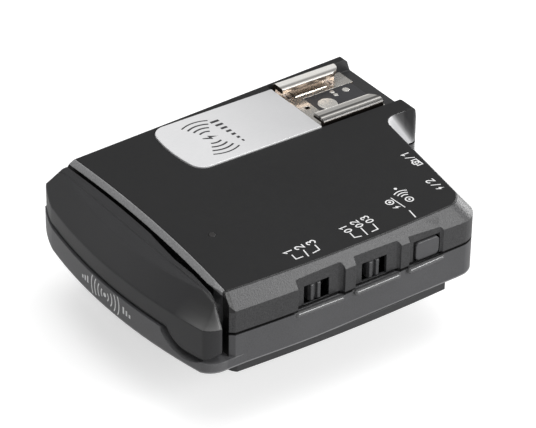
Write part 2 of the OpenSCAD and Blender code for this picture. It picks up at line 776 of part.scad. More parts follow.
upper_case();
lower_case();
top_label();
name_plate();
shoe_rails();
shoe_insulator();
shoe_contacts();
shoe_spring();
shoe_screws();
antenna_cover();
antenna_base();
antenna_element();
antenna_pivot();
antenna_washer();
antenna_screws();
channel_switch_knob();
mode_switch_knob();
slide_switch_bodies();
test_button();
test_switch();
switch_board();
main_board();
radio_module();
status_lamp();
sync_jacks();
usb_socket();
battery_cells();
battery_contacts();
battery_springs();
battery_door();
door_carrier();
door_hinge_pin();
foot_plate();
foot_column();
foot_insulator();
foot_pins();
foot_lock_pin();
lock_ring();
foot_bracket();
case_screws();
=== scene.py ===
"""Looks, printed marks and studio for a small radio unit with a hinged antenna and a top shoe.

The case lies flat: z is up, the antenna is at the -x end, the switches run along x at the low-y
side and the shoe is on top at higher y. "Near" means towards -y and "far" towards +y.
"""
import bpy, bmesh, math
from functools import cached_property
from mathutils import Vector, Matrix


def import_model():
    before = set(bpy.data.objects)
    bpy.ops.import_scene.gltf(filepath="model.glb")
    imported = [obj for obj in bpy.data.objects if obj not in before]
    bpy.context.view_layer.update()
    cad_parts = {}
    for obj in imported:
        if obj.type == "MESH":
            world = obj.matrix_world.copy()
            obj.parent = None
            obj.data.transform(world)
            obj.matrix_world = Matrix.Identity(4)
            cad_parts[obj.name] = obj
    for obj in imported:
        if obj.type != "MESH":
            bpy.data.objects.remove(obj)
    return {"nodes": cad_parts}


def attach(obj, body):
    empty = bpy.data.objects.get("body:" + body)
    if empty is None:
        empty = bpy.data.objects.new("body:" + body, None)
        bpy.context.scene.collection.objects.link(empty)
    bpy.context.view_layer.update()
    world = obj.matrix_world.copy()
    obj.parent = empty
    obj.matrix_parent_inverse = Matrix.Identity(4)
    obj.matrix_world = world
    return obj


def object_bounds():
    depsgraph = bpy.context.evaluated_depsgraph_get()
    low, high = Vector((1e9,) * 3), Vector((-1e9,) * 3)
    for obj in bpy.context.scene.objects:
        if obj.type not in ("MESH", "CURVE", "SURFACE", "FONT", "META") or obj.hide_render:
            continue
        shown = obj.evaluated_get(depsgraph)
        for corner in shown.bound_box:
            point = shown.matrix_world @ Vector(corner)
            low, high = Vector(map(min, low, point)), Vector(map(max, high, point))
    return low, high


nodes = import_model()["nodes"]
cad_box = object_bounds()

# ---------------------------------------------------------------- layout
MM = 0.001
ORIGIN = (66.7, 57.6, -16.5)        # mm, the shared frame's origin in the case's own layout

DECK_Z = 18.4                       # top of the label film
PLATE_Z = 18.7                      # top of the name plate
FRONT_RADIUS = 336                  # bowed hollow wall of the case behind the antenna
FRONT_CENTRE = (1.15 - FRONT_RADIUS, 43)
LEDGE_RADIUS = 150                  # bowed outer wall of the ledge under the antenna
LEDGE_CENTRE = (139.35, 35)


def P(x, y, z):
    """A point of the case's own layout, in mm, as a point of the shared frame in metres."""
    return Vector(((x - ORIGIN[0]) * MM, (y - ORIGIN[1]) * MM, (z - ORIGIN[2]) * MM))


def at(axis, mm):
    """A layout coordinate on one axis, in the shared frame."""
    return P(mm, mm, mm)["xyz".index(axis)]


def along(axis, low, high):
    return at(axis, low), at(axis, high)


def grey(tone):
    return (tone,) * 3


# ---------------------------------------------------------------- material builder
CORE = (0.3, 0.7)                   # the range most noise values fall in
NARROW = (0.35, 0.65)               # a tighter range, for more contrast
UNIT = (0, 1)                       # the range of a mask


class Look:
    """A material under construction; `colour` is its base colour, painted layer by layer."""

    def __init__(self, name):
        self.material = bpy.data.materials.new(name)
        self.material.use_nodes = True
        self.tree = self.material.node_tree
        self.tree.nodes.clear()
        self.surface = self.node("ShaderNodeBsdfPrincipled")
        self.node("ShaderNodeOutputMaterial", {"Surface": self.surface.outputs["BSDF"]})
        self.coords = self.node("ShaderNodeTexCoord").outputs["Object"]
        self.colour = None
        self.normal = None

    def feed(self, node, key, value):
        """Link a socket to an input, or set its value; colours get an alpha of 1."""
        socket = node.inputs[key]
        if isinstance(value, bpy.types.NodeSocket):
            self.tree.links.new(value, socket)
        elif isinstance(value, tuple):
            socket.default_value = value + (1,) * (len(socket.default_value) - len(value))
        elif value is not None:
            socket.default_value = value

    def node(self, kind, inputs=None, **settings):
        node = self.tree.nodes.new(kind)
        for key, value in settings.items():
            setattr(node, key, value)
        for key, value in (inputs or {}).items():
            self.feed(node, key, value)
        return node

    def split(self, vector):
        return dict(zip("xyz", self.node("ShaderNodeSeparateXYZ", {0: vector}).outputs))

    @cached_property
    def place(self):
        """The x, y and z of the shaded point."""
        return self.split(self.coords)

    @cached_property
    def geometry(self):
        return self.node("ShaderNodeNewGeometry").outputs

    @cached_property
    def facing(self):
        """The x, y and z of the flat face's normal."""
        return self.split(self.geometry["True Normal"])

    @cached_property
    def edge(self):
        """A mask of the edges that round_edges softens."""
        flat = self.node("ShaderNodeNewGeometry").outputs["Normal"]
        return self.remap(self.dot(self.normal, flat), to=(1, 0), over=(0.75, 0.985))

    def round_edges(self, radius):
        bevel = self.node("ShaderNodeBevel", {"Radius": radius}, samples=6)
        self.normal = bevel.outputs["Normal"]

    # textures
    def stretched(self, scale):
        return self.node("ShaderNodeMapping", {"Vector": self.coords, "Scale": scale}).outputs[0]

    def noise(self, scale, detail=3, roughness=0.6, vector=None):
        return self.node("ShaderNodeTexNoise", {
            "Scale": scale, "Detail": detail, "Roughness": roughness,
            "Vector": vector or self.coords}).outputs["Fac"]

    def voronoi(self, scale):
        inputs = {"Scale": scale, "Vector": self.coords}
        return self.node("ShaderNodeTexVoronoi", inputs).outputs["Distance"]

    # arithmetic
    def math(self, operation, a, b=None, clamp=False):
        inputs = {0: a, 1: b}
        return self.node("ShaderNodeMath", inputs, operation=operation, use_clamp=clamp).outputs[0]

    def times(self, first, *others, clamp=False):
        """Multiply in order; only the last product is clamped."""
        for i, other in enumerate(others, 1):
            first = self.math("MULTIPLY", first, other, clamp and i == len(others))
        return first

    def plus(self, a, b, clamp=False):
        return self.math("ADD", a, b, clamp)

    def minus(self, a, b, clamp=False):
        return self.math("SUBTRACT", a, b, clamp)

    def above(self, value, limit):
        return self.math("GREATER_THAN", value, limit)

    def below(self, value, limit):
        return self.math("LESS_THAN", value, limit)

    def dot(self, a, b):
        inputs = {0: a, 1: b}
        dot = self.node("ShaderNodeVectorMath", inputs, operation="DOT_PRODUCT")
        return dot.outputs["Value"]

    def remap(self, value, to, over=CORE):
        return self.node("ShaderNodeMapRange", {
            "Value": value, "From Min": over[0], "From Max": over[1],
            "To Min": to[0], "To Max": to[1]}).outputs["Result"]

    def between(self, value, low, high):
        """1 where the value lies between low and high."""
        inputs = {0: value, 1: (low + high) / 2, 2: (high - low) / 2}
        return self.node("ShaderNodeMath", inputs, operation="COMPARE").outputs[0]

    def slab(self, axis, low, high):
        """1 between two layout coordinates, in mm."""
        return self.between(self.place[axis], *along(axis, low, high))

    def bands(self, value, over, stops, axis=None):
        """Tone that changes with position: stops are (mm, tone) within the mm range `over`.
        The value is a coordinate on the axis, or a plain length when no axis is given."""
        first, last = over
        ends = along(axis, first, last) if axis else (first * MM, last * MM)
        ramp = self.node("ShaderNodeValToRGB", {"Fac": self.remap(value, UNIT, over=ends)})
        elements = ramp.color_ramp.elements
        while len(elements) < len(stops):
            elements.new(0.5)
        for element, (mm, tone) in zip(elements, stops):
            element.position = (mm - first) / (last - first)
            element.color = (*grey(tone), 1)
        return ramp.outputs["Color"]

    # colour
    def mix(self, factor, a, b, mode="MIX"):
        inputs = {0: factor, 6: a, 7: b}
        return self.node("ShaderNodeMix", inputs, data_type="RGBA", blend_type=mode).outputs[2]

    def vary(self, noise, dark, light, over=CORE):
        return self.mix(self.remap(noise, UNIT, over), dark, light)

    def paint(self, colour, mask, share=None):
        """Lay a colour over the base colour; share is how far it covers."""
        self.colour = self.mix(mask if share is None else self.times(mask, share),
                               self.colour, colour)

    def shaded(self, factor):
        return self.mix(1.0, self.colour, factor, "MULTIPLY")

    def cloud(self, noise, gain, over=NARROW):
        self.paint(self.shaded(gain), self.remap(noise, UNIT, over))

    def scuff(self, worn, least, share):
        """Wear the edges unevenly; least is the wear where the noise is lowest."""
        patches = self.noise(scale=900, detail=4, roughness=0.7)
        patches = self.remap(patches, to=(least, 1.0), over=NARROW)
        self.paint(worn, self.times(self.edge, patches, clamp=True), share)

    # finish
    def grain_height(self, fine, pits):
        return self.plus(self.times(fine, 0.6), self.times(pits, 0.4))

    def bump(self, height, strength, distance):
        return self.node("ShaderNodeBump", {
            "Height": height, "Strength": strength, "Distance": distance,
            "Normal": self.normal}).outputs["Normal"]

    def finish(self, **inputs):
        self.feed(self.surface, "Base Color", self.colour)
        for key, value in inputs.items():
            self.feed(self.surface, key.replace("_", " "), value)
        return self.material


# ---------------------------------------------------------------- plastics
def plastic(name, dark, light, rough, grain=5200, bump=0.22, wear=1.5, radius=0.00022):
    """Moulded plastic with a fine eroded grain, cloudy tone and polished edges."""
    k = Look(name)
    k.round_edges(radius)
    fine = k.noise(scale=grain)
    pits = k.voronoi(scale=grain * 0.62)
    k.colour = k.vary(fine, dark, light)
    k.cloud(k.noise(scale=90, detail=4, roughness=0.55), gain=grey(1.06))
    k.scuff(tuple(min(1, c * wear) for c in light), least=0.25, share=0.55)
    roughness = k.remap(fine, to=(rough - 0.05, rough + 0.07))
    return k.finish(Roughness=k.minus(roughness, k.times(k.edge, 0.08)),
                    Normal=k.bump(k.grain_height(fine, pits), strength=bump, distance=0.00006))


def case_shell(name, dark, light, rough, grain):
    """What both case halves share: eroded grain and painted shade that makes the hollow front behind
    the antenna black.
    """
    k = Look(name)
    k.round_edges(radius=0.00024)
    k.grain = k.noise(scale=grain, roughness=0.65)
    k.height = k.grain_height(k.grain, k.voronoi(scale=grain * 0.8))
    k.colour = k.vary(k.grain, dark, light, over=(0.32, 0.68))
    k.cloud(k.noise(scale=70, detail=4, roughness=0.55), gain=grey(1.09))
    k.scuff(tuple(c * 1.6 for c in light), least=0.2, share=0.5)
    k.roughness = k.minus(k.remap(k.grain, to=(rough - 0.06, rough + 0.08)),
                          k.times(k.edge, 0.08))

    centre = P(*FRONT_CENTRE, 0)
    dx = k.minus(k.place["x"], centre.x)
    dy = k.minus(k.place["y"], centre.y)
    k.from_centre = k.math("SQRT", k.plus(k.times(dx, dx), k.times(dy, dy)))
    wall = k.times(k.between(k.from_centre, 335.5 * MM, 336.25 * MM), k.slab("z", 5.9, 16.9))
    # painted shade also on the flat facet where the hollow ends at the near corner
    facet_shade = k.times(k.slab("x", -3, 1.2), k.slab("y", -1, 3.2), k.slab("z", 2.6, 16.9),
                    k.below(k.facing["x"], -0.9))
    k.front = k.plus(wall, facet_shade, clamp=True)
    # painted shade: the hollow front and its facet are painted near black
    k.paint(grey(0.005), k.front)
    return k


def upper_case_look():
    k = case_shell("case_plastic_look", dark=(0.019, 0.019, 0.0202),
                   light=(0.062, 0.062, 0.0646), rough=0.42, grain=3000)
    x, y, z = k.place.values()
    normal_z = k.facing["z"]

    # painted highlight: a pale strip along the top edge of the hollow front
    strip_highlight = k.times(k.between(k.from_centre, 335.5 * MM, 337.35 * MM), k.slab("z", 16.95, 18.3))
    k.paint(k.vary(k.grain, (0.19, 0.19, 0.193), (0.33, 0.33, 0.335)), strip_highlight)

    # smoother hollow beside the shoe block
    hollow = k.times(k.slab("x", 69.6, 78), k.slab("y", 33.5, 41.6))
    roughness = k.minus(k.roughness, k.times(hollow, 0.22))
    height = k.times(k.height, k.remap(hollow, to=(1.0, 0.35), over=UNIT))

    # dark seam over the lower half, and painted shade in the gaps round the test button
    seam = k.times(k.slab("z", 8.5, 8.82), k.between(normal_z, -1.01, 0.6))
    k.paint(grey(0.002), seam, share=0.95)
    # painted shade round the test button
    gap = k.times(k.slab("x", 48.82, 56.25), k.slab("z", 8.62, 14.0), k.slab("y", -0.6, 3))
    k.paint(grey(0.004), gap, share=0.9)

    # painted shade on the near wall, a little darker; painted light on the slope above it, which
    # fades along x
    wall = k.times(k.below(k.facing["y"], -0.8), k.below(y, at("y", 6)))
    k.paint(grey(0.006), wall, share=0.28)
    slope_light = k.times(k.between(normal_z, 0.3, 0.93), k.below(y, at("y", 7)))
    k.paint(k.shaded(k.remap(x, to=(1.2, 0.92), over=along("x", 4, 56))), slope_light)

    # painted reflection: the hollow's upright wall is painted with the pale floor's reflection, only
    # when seen from near and above, in bands that slant as x grows
    side = k.times(k.slab("x", 69.6, 84), k.slab("y", 33.5, 44.6),
                   k.between(normal_z, -0.5, 0.5))
    seen = k.dot(k.geometry["Incoming"], (-0.487, -0.684, 0.544))
    side = k.times(side, k.remap(seen, UNIT, over=(0.84, 0.965)))
    slanted = k.plus(k.minus(z, at("z", 0)), k.times(k.minus(x, at("x", 75)), 1.5))
    floor_reflection = k.bands(slanted, over=(8, 21), stops=(
        (8.5, 1.0), (15.4, 1.0), (16.3, 0.52), (17.3, 0.2), (18.3, 0.09), (20.5, 0.03)))
    k.paint(k.mix(floor_reflection, (0.005, 0.005, 0.0055), (0.66, 0.66, 0.67)), side)
    flank = k.times(side, k.above(x, at("x", 77.2)))

    # the +x end above the hollow's foot stays dark
    post = k.times(k.above(x, at("x", 76.2)), k.above(z, at("z", 12.0)), k.minus(1.0, side),
                   clamp=True)
    k.paint((0.012, 0.012, 0.0125), post, share=0.75)

    # painted shade: the facet where the pale strip meets the near corner is painted dark
    turn = k.times(k.slab("x", -3, 0.5), k.slab("y", -1.5, 3.4), k.slab("z", 13.9, 18.3))
    k.paint(grey(0.008), turn, share=0.9)

    specular = k.remap(k.front, to=(0.5, 0.1), over=UNIT)
    specular = k.minus(specular, k.times(k.plus(seam, gap, clamp=True), 0.42), clamp=True)
    specular = k.minus(specular, k.times(flank, 0.3))
    return k.finish(Roughness=roughness, Specular_IOR_Level=specular,
                    Normal=k.bump(height, strength=0.5, distance=0.0001))


BEAD_SPANS = ((15.7, 29.1), (31.4, 44.8), (46.4, 57.4))     # x ranges under the switch wells


def lower_case_look():
    k = case_shell("lower_case_look", dark=(0.058, 0.058, 0.061),
                   light=(0.080, 0.080, 0.084), rough=0.38, grain=3800)
    normal_z = k.facing["z"]

    # brighter ledge under the antenna; darker towards the +x end
    ledge = k.times(k.slab("x", -16, -1.6), k.slab("z", -1, 5.7))
    k.paint(k.vary(k.grain, (0.098, 0.098, 0.101), (0.134, 0.134, 0.138)), ledge, share=0.6)
    k.paint((0.02, 0.02, 0.021),
            k.remap(k.place["x"], to=(0, 0.22), over=along("x", 52, 68)))

    # dark groove and lip at the parting line, and a painted highlight along the rim at the bottom
    groove = k.times(k.slab("z", 8.25, 8.62), k.between(normal_z, -0.5, 1.01),
                     k.minus(1.0, k.slab("z", 8.58, 8.7)))
    k.paint(grey(0.004), groove, share=0.9)
    lip = k.times(k.slab("z", 8.08, 8.29), k.between(normal_z, -0.6, 1.01))
    k.paint(grey(0.006), lip, share=0.8)
    rim_highlight = k.times(k.slab("z", 0.0, 0.32), k.between(normal_z, -0.93, 0.5))
    k.paint((0.26, 0.26, 0.265), rim_highlight, share=0.75)

    # glossy beads under the switch wells, with a painted highlight that lightens their colour
    first, *others = [k.slab("x", *span) for span in BEAD_SPANS]
    beads = first
    for other in others:
        beads = k.plus(beads, other)
    beads = k.times(beads, k.slab("z", 6.9, 8.4), clamp=True)
    beads = k.times(beads, k.slab("y", -1.8, -0.3), clamp=True)
    k.paint((0.11, 0.11, 0.112), beads, share=0.6)

    dulled = k.times(k.plus(lip, groove, clamp=True), 0.42)
    specular = k.minus(k.remap(beads, to=(0.5, 0.72), over=UNIT), dulled, clamp=True)
    return k.finish(Roughness=k.minus(k.roughness, k.times(beads, 0.2)),
                    Specular_IOR_Level=specular,
                    Normal=k.bump(k.height, strength=0.16, distance=0.0001))


def antenna_look(name, inner):
    """Satin plastic of the antenna bar; the inner part's +x face lies in the gap and is painted black
    as shade.
    """
    k = Look(name)
    k.round_edges(radius=0.0009)
    fine = k.noise(scale=5200)
    k.colour = k.vary(fine, (0.0138, 0.0138, 0.0149), (0.0206, 0.0206, 0.0221))
    k.cloud(k.noise(scale=55, detail=4), gain=grey(1.15))
    k.paint((0.05, 0.05, 0.052), k.edge, share=0.35)

    # painted highlight on the bevel round the near corner, brighter towards its lower edge
    bevel_highlight = k.times(k.remap(k.place["y"], to=(1, 0), over=along("y", 3.5, 11)),
                     k.between(k.facing["z"], 0.08, 0.93), k.slab("z", 10.7, 17), clamp=True)
    tone = k.bands(k.place["z"], axis="z", over=(10.8, 17.0), stops=(
        (10.9, 0.125), (11.8, 0.085), (13.2, 0.046), (15.0, 0.024), (16.9, 0.02)))
    k.paint(tone, bevel_highlight)

    specular = None
    if inner:
        # painted shade: the inner part's faces towards the case are painted black
        gap_face_shade = k.above(k.facing["x"], 0.5)
        k.paint(grey(0.005), gap_face_shade)
        specular = k.remap(gap_face_shade, to=(0.5, 0.1), over=UNIT)
    return k.finish(Roughness=k.remap(fine, to=(0.33, 0.43)), Specular_IOR_Level=specular,
                    Normal=k.bump(fine, strength=0.07, distance=0.00005))


def label_look():
    k = Look("label_look")
    k.round_edges(radius=0.0001)
    fine = k.noise(scale=7000, detail=2)
    smears = k.noise(scale=420, detail=5)
    k.colour = k.vary(fine, (0.0078, 0.0078, 0.0082), (0.0128, 0.0128, 0.0132))
    k.cloud(k.noise(scale=38, roughness=0.5), gain=grey(1.12), over=CORE)
    roughness = k.plus(k.remap(fine, to=(0.36, 0.46)), k.remap(smears, to=(-0.03, 0.05)))
    return k.finish(Roughness=roughness, Specular_IOR_Level=0.3,
                    Normal=k.bump(fine, strength=0.12, distance=0.00003))


def lamp_look():
    k = Look("lamp_look")
    k.round_edges(radius=0.0002)
    fine = k.noise(scale=3000, detail=2, roughness=0.5)
    k.colour = k.mix(fine, (0.016, 0.015, 0.015), (0.022, 0.020, 0.020))
    return k.finish(Roughness=k.remap(fine, to=(0.28, 0.36), over=UNIT),
                    Normal=k.bump(fine, strength=0.03, distance=0.00003))


def ink_look(name, colour):
    k = Look(name)
    fine = k.noise(scale=5200)
    patches = k.noise(scale=1400, detail=4, roughness=0.7)
    k.colour = k.vary(patches, tuple(c * 0.9 for c in colour), colour)
    return k.finish(Roughness=k.remap(fine, to=(0.42, 0.55)),
                    Normal=k.bump(fine, strength=0.1, distance=0.00002))


def shadow_gap_look():
    k = Look("shadow_gap_look")
    fine = k.noise(scale=2200)
    k.colour = k.mix(fine, grey(0.004), grey(0.009))
    return k.finish(Roughness=k.remap(fine, to=(0.6, 0.75)), Specular_IOR_Level=0.2)


# ---------------------------------------------------------------- metals, board and cells
def metal(name, base, tint, rough, lines=(1, 1, 1), metallic=1.0):
    """Plated or machined metal with drawn lines, fine scratches and brighter edges."""
    k = Look(name)
    k.round_edges(radius=0.00012)
    drawn = k.noise(scale=1500, detail=4, roughness=0.65, vector=k.stretched(lines))
    k.colour = k.vary(k.noise(scale=240), base, tint, over=NARROW)
    k.paint(tuple(c * 0.7 for c in base), k.remap(drawn, UNIT), share=0.25)
    k.paint(tuple(min(1, c * 1.25) for c in base), k.edge, share=0.3)
    return k.finish(Metallic=metallic, Roughness=k.remap(drawn, to=(rough - 0.05, rough + 0.1)),
                    Normal=k.bump(drawn, strength=0.08, distance=0.00004))


def name_plate_look():
    """Satin plate brushed along x, slightly darker towards +x."""
    k = Look("name_plate_look")
    k.round_edges(radius=0.00018)
    brushed = k.noise(scale=600, detail=4, roughness=0.7, vector=k.stretched((1, 26, 26)))
    specks = k.noise(scale=5200, detail=2, roughness=0.5)
    k.colour = k.vary(brushed, (0.58, 0.58, 0.585), (0.64, 0.64, 0.645))
    k.cloud(k.noise(scale=45, roughness=0.5), gain=(0.95, 0.95, 0.955), over=CORE)
    k.colour = k.shaded(k.remap(k.place["x"], to=(1.17, 0.92), over=along("x", 30, 56)))
    # painted highlight: the plate's edges are painted near white
    k.paint((0.86, 0.86, 0.87), k.edge, share=0.6)
    roughness = k.plus(k.remap(brushed, to=(0.3, 0.42)), k.remap(specks, to=(-0.02, 0.03)))
    return k.finish(Metallic=0.12, Roughness=roughness, Coat_Weight=0.25, Coat_Roughness=0.18,
                    Normal=k.bump(brushed, strength=0.05, distance=0.00002))


# reflections across the shoe's lips: (y in mm, tone)
NEAR_LIP = (
    (47.2, 0.03), (47.5, 0.10), (47.9, 0.16), (48.15, 0.85), (48.45, 0.34), (48.75, 0.08),
    (49.2, 0.10), (49.6, 0.42), (49.9, 0.34), (50.6, 0.42), (50.95, 0.92), (51.3, 0.95))
FAR_LIP = (
    (63.95, 0.45), (64.15, 0.62), (64.4, 0.30), (64.7, 0.26), (65.1, 0.40), (65.5, 0.78),
    (68.3, 0.86))


def nickel_look():
    """Bright plate of the shoe, with painted shade making its walls warm brown and painted
    reflections banding its lips.
    """
    k = Look("nickel_look")
    k.round_edges(radius=0.0002)
    normal = k.split(k.geometry["Normal"])
    drawn = k.noise(scale=900, detail=5, roughness=0.7, vector=k.stretched((1, 18, 18)))
    patches = k.noise(scale=300, detail=4)
    specks = k.noise(scale=2600)

    # painted light and shade: upward faces get a pale top colour and upright walls a darker warm
    # brown
    wall = k.vary(drawn, (0.12, 0.092, 0.072), (0.29, 0.235, 0.19))
    top = k.vary(patches, (0.74, 0.71, 0.66), (0.88, 0.86, 0.82))
    speckled = k.times(k.remap(specks, UNIT, over=(0.45, 0.62)), 0.25)
    top = k.mix(speckled, top, (0.55, 0.50, 0.44))
    k.colour = k.mix(k.remap(normal["z"], UNIT, over=(0.1, 0.85)), wall, top)
    k.paint((0.75, 0.73, 0.7), k.edge, share=0.35)

    # painted reflections banded across both lips
    y = k.place["y"]
    near_tone = k.bands(y, axis="y", over=(46.9, 51.4), stops=NEAR_LIP)
    far_tone = k.bands(y, axis="y", over=(63.8, 68.4), stops=FAR_LIP)
    lips = k.slab("z", 18.7, 22)
    near = k.times(lips, k.slab("y", 46, 51.45))
    far = k.times(lips, k.slab("y", 63.8, 69), k.above(normal["z"], 0.3))
    warm = k.vary(patches, (1.0, 0.965, 0.91), (1.0, 0.985, 0.95))
    k.paint(k.mix(1.0, near_tone, warm, "MULTIPLY"), near)
    k.paint(k.mix(1.0, far_tone, warm, "MULTIPLY"), far)

    # painted shade: the outer wall on the near side is painted dark
    outer = k.times(k.slab("y", 46, 47.25), k.below(normal["y"], -0.6))
    k.paint((0.02, 0.019, 0.018), outer, share=0.85)
    return k.finish(
        Metallic=k.minus(0.9, k.times(k.plus(near, far, clamp=True), 0.62)),
        Roughness=k.plus(k.remap(drawn, to=(0.16, 0.30)), k.times(k.edge, 0.2)),
        Normal=k.bump(drawn, strength=0.08, distance=0.00004))


def board_look(name, dark, light, track):
    """Circuit board: varnish with a brick pattern of tracks."""
    k = Look(name)
    k.round_edges(radius=0.0001)
    tracks = k.node("ShaderNodeTexBrick", {
        "Scale": 420, "Mortar Size": 0.018, "Vector": k.stretched((1, 1, 1))}).outputs["Fac"]
    fine = k.noise(scale=2400)
    k.colour = k.vary(fine, dark, light)
    k.paint(track, tracks, share=0.6)
    return k.finish(Roughness=k.remap(fine, to=(0.22, 0.34)),
                    Normal=k.bump(tracks, strength=0.2, distance=0.00003))


def cell_look():
    """Battery sleeve: black, with a gold band towards +x."""
    k = Look("cell_look")
    k.round_edges(radius=0.0004)
    band = k.above(k.place["x"], at("x", 41))
    patches = k.noise(scale=700, detail=4)
    k.colour = k.mix(patches, (0.015, 0.015, 0.016), (0.03, 0.03, 0.032))
    k.paint(k.mix(patches, (0.50, 0.33, 0.11), (0.60, 0.42, 0.17)), band)
    return k.finish(Metallic=k.times(band, 0.7), Roughness=k.remap(patches, to=(0.2, 0.32)),
                    Coat_Weight=0.4, Normal=k.bump(patches, strength=0.05, distance=0.00005))


LOOKS = {
    "case": upper_case_look(),
    "case2": lower_case_look(),
    # painted shade: the door plastic is darker than the case plastic, for the inset door in shade
    "door": plastic("shaded_door_look", dark=(0.021, 0.021, 0.022), light=(0.033, 0.033, 0.0345),
                    rough=0.42, grain=3600, bump=0.25),
    "antenna": antenna_look("antenna_cover_look", inner=False),
    "antenna_in": antenna_look("antenna_base_look", inner=True),
    "button": plastic("button_look", dark=(0.056, 0.056, 0.059), light=(0.078, 0.078, 0.082),
                      rough=0.38, grain=3600, bump=0.2, radius=0.0004),
    "knob": plastic("knob_look", dark=(0.040, 0.040, 0.042), light=(0.062, 0.062, 0.065),
                    rough=0.28, bump=0.08, radius=0.0003),
    "ring": plastic("ring_look", dark=(0.030, 0.030, 0.031), light=(0.045, 0.045, 0.047),
                    rough=0.45, wear=1.6),
    "jack": plastic("jack_look", dark=(0.018, 0.018, 0.018), light=(0.028, 0.028, 0.029),
                    rough=0.3, bump=0.06),
    "insul": plastic("insulator_look", dark=(0.020, 0.020, 0.022),
                     light=(0.036, 0.036, 0.040), rough=0.42, bump=0.15),
    "label": label_look(),
    "plate": name_plate_look(),
    "nickel": nickel_look(),
    "contact": metal("contact_look", base=(0.82, 0.80, 0.75), tint=(0.9, 0.88, 0.84),
                     rough=0.26, metallic=0.7),
    "spring": metal("spring_look", base=(0.66, 0.64, 0.60), tint=(0.76, 0.74, 0.70),
                    rough=0.25, lines=(1, 12, 12)),
    "screw": metal("screw_look", base=(0.30, 0.30, 0.31), tint=(0.40, 0.40, 0.41), rough=0.32),
    "steel": metal("steel_look", base=(0.56, 0.56, 0.57), tint=(0.66, 0.66, 0.67), rough=0.27),
    "can": metal("plated_can_look", base=(0.66, 0.66, 0.67), tint=(0.74, 0.74, 0.75),
                 rough=0.3, lines=(1, 10, 10)),
    "foot": metal("foot_metal_look", base=(0.60, 0.60, 0.61), tint=(0.68, 0.68, 0.69),
                  rough=0.3, lines=(1, 14, 14)),
    "gold": metal("gold_look", base=(0.83, 0.62, 0.28), tint=(0.90, 0.72, 0.38), rough=0.22),
    "copper": metal("copper_look", base=(0.72, 0.42, 0.26), tint=(0.80, 0.50, 0.32),
                    rough=0.3, lines=(12, 1, 12)),
    "board": board_look("board_look", dark=(0.012, 0.075, 0.032),
                        light=(0.018, 0.10, 0.045), track=(0.03, 0.16, 0.07)),
    "board2": board_look("switch_board_look", dark=(0.006, 0.007, 0.007),
                         light=(0.010, 0.012, 0.011), track=(0.016, 0.020, 0.018)),
    "swbody": metal("switch_body_look", base=(0.10, 0.10, 0.102), tint=(0.15, 0.15, 0.152),
                    rough=0.38, metallic=0.6),
    "cell": cell_look(),
    "lamp": lamp_look(),
    "ink": ink_look("white_ink_look", grey(0.80)),
    "inkdark": ink_look("dark_ink_look", (0.03, 0.03, 0.032)),
    "gap": shadow_gap_look(),       # spare: no piece wears it
}

# ---------------------------------------------------------------- pieces
# piece: (look, bevel width in mm); a width of 0 leaves the mesh as it is
PIECES = {
    "upper_case": ("case", 0.22), "lower_case": ("case2", 0.2), "top_label": ("label", 0.05),
    "name_plate": ("plate", 0.16), "shoe_rails": ("nickel", 0.14),
    "shoe_insulator": ("insul", 0), "shoe_contacts": ("contact", 0.08),
    "shoe_spring": ("spring", 0.05), "shoe_screws": ("steel", 0.05),
    "antenna_cover": ("antenna", 0.5), "antenna_base": ("antenna_in", 0.25),
    "antenna_element": ("copper", 0.04), "antenna_pivot": ("steel", 0.12),
    "antenna_washer": ("spring", 0.08), "antenna_screws": ("screw", 0.08),
    "channel_switch_knob": ("knob", 0.12), "mode_switch_knob": ("knob", 0.12),
    "slide_switch_bodies": ("swbody", 0.1), "test_button": ("button", 0.25),
    "test_switch": ("can", 0.1), "switch_board": ("board2", 0.05),
    "main_board": ("board", 0.05), "radio_module": ("can", 0.12),
    "status_lamp": ("lamp", 0.06), "sync_jacks": ("jack", 0.15), "usb_socket": ("can", 0.08),
    "battery_cells": ("cell", 0.3), "battery_contacts": ("spring", 0.08),
    "battery_springs": ("spring", 0), "battery_door": ("door", 0.05),
    "door_carrier": ("steel", 0.08), "door_hinge_pin": ("steel", 0.06),
    "foot_plate": ("foot", 0.15), "foot_column": ("ring", 0.2),
    "foot_insulator": ("insul", 0.05), "foot_pins": ("gold", 0),
    "foot_lock_pin": ("steel", 0.15), "lock_ring": ("ring", 0.2),
    "foot_bracket": ("steel", 0.1), "case_screws": ("screw", 0.1),
}


def smooth_group(angle):
    """Geometry nodes that shade faces smooth and keep edges sharper than the angle."""
    group = bpy.data.node_groups.new("smooth_by_angle", "GeometryNodeTree")
    for way in ("INPUT", "OUTPUT"):
        group.interface.new_socket("Geometry", in_out=way, socket_type="NodeSocketGeometry")
    start = group.nodes.new("NodeGroupInput")
    end = group.nodes.new("NodeGroupOutput")
    faces = group.nodes.new("GeometryNodeSetShadeSmooth")
    faces.domain = "FACE"
    edges = group.nodes.new("GeometryNodeSetShadeSmooth")
    edges.domain = "EDGE"
    edge_angle = group.nodes.new("GeometryNodeInputMeshEdgeAngle")
    blunt = group.nodes.new("FunctionNodeCompare")
    blunt.data_type = "FLOAT"
    blunt.operation = "LESS_THAN"
    blunt.inputs[1].default_value = math.radians(angle)
    for source, target in (
            (edge_angle.outputs[0], blunt.inputs[0]),
            (start.outputs[0], faces.inputs["Geometry"]),
            (faces.outputs[0], edges.inputs["Geometry"]),
            (blunt.outputs[0], edges.inputs["Shade Smooth"]),
            (edges.outputs[0], end.inputs[0])):
        group.links.new(source, target)
    return group


SMOOTH = smooth_group(angle=33)


